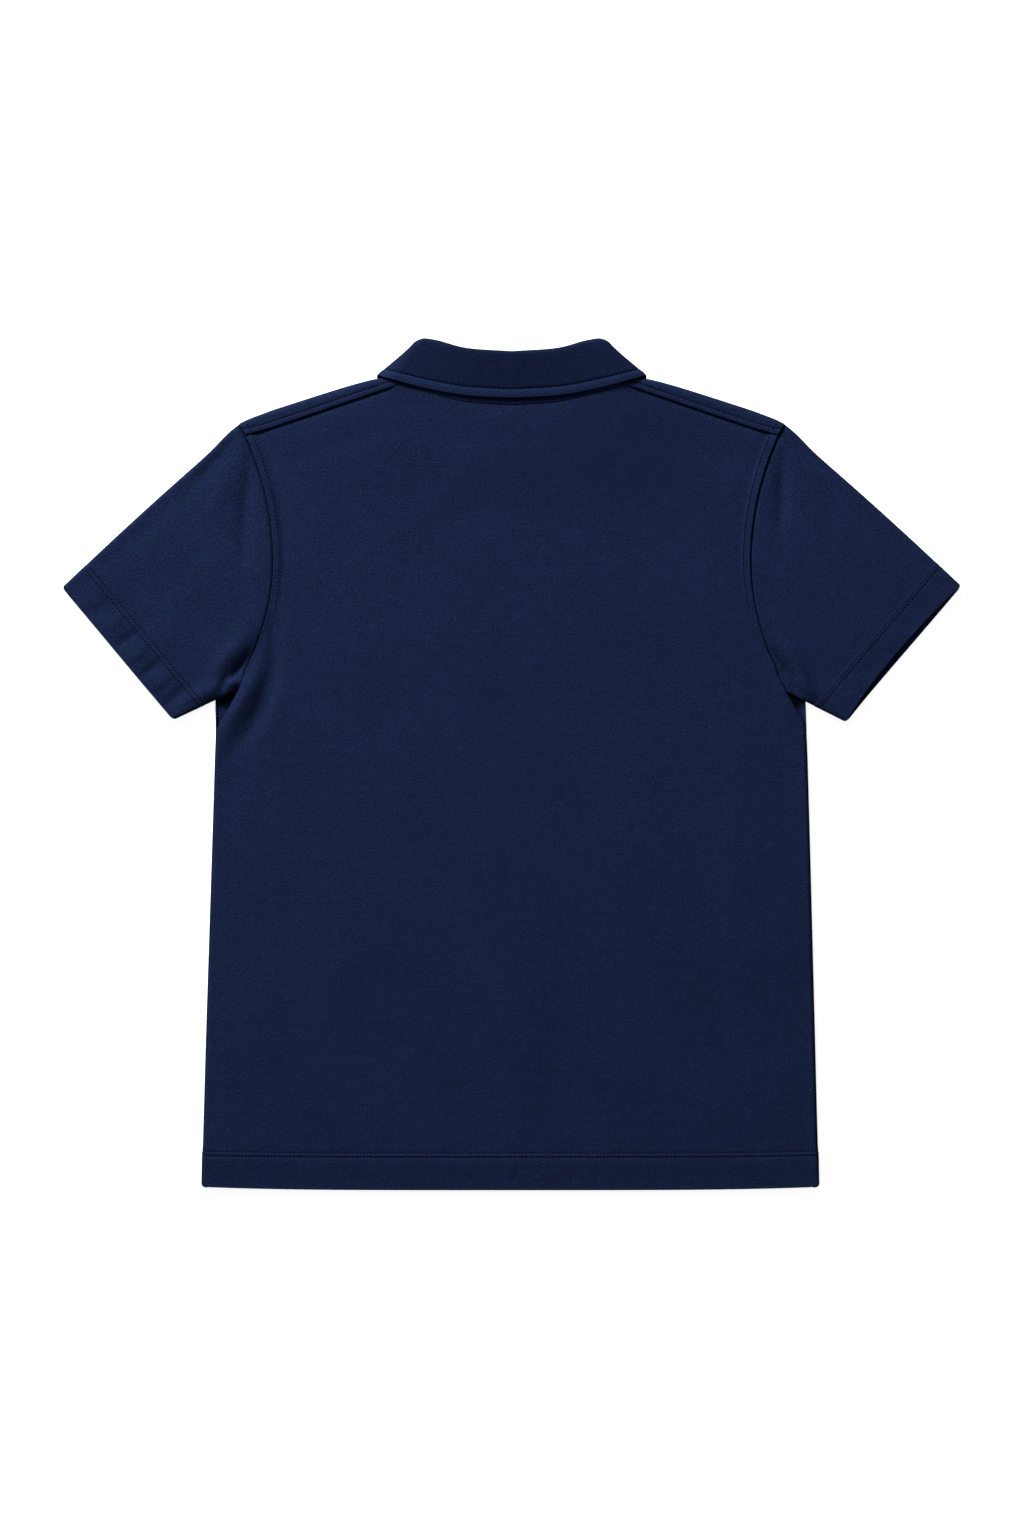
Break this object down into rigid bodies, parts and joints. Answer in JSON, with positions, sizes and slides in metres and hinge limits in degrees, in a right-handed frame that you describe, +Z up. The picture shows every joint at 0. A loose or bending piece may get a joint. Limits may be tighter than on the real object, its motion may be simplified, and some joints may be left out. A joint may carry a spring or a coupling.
{
  "type": "polo shirt",
  "caption": "Short-sleeved polo shirt laid flat, face down: back panel, front panel with buttoned placket, two sleeves and a folded knit collar.",
  "frame": {"origin": "under the middle of the shirt, on the surface that it lies on", "axes": "+Z up, out of the shirt's back; +Y from the hem to the collar; +X to the right, seen from above"},
  "size_m": [0.8038, 0.7647, 0.0196],
  "materials": {
    "jersey": "matt knitted cotton",
    "rib": "matt flat-knitted rib",
    "button": "semi-gloss dyed resin"
  },
  "bodies": {
    "root": {"back_panel": "jersey", "front_panel": "jersey", "sleeve_left": "jersey", "sleeve_right": "jersey", "collar": "rib", "placket_upper": "jersey", "placket_under": "jersey", "button_1": "button", "button_2": "button", "button_3": "button"}
  },
  "joints": []
}
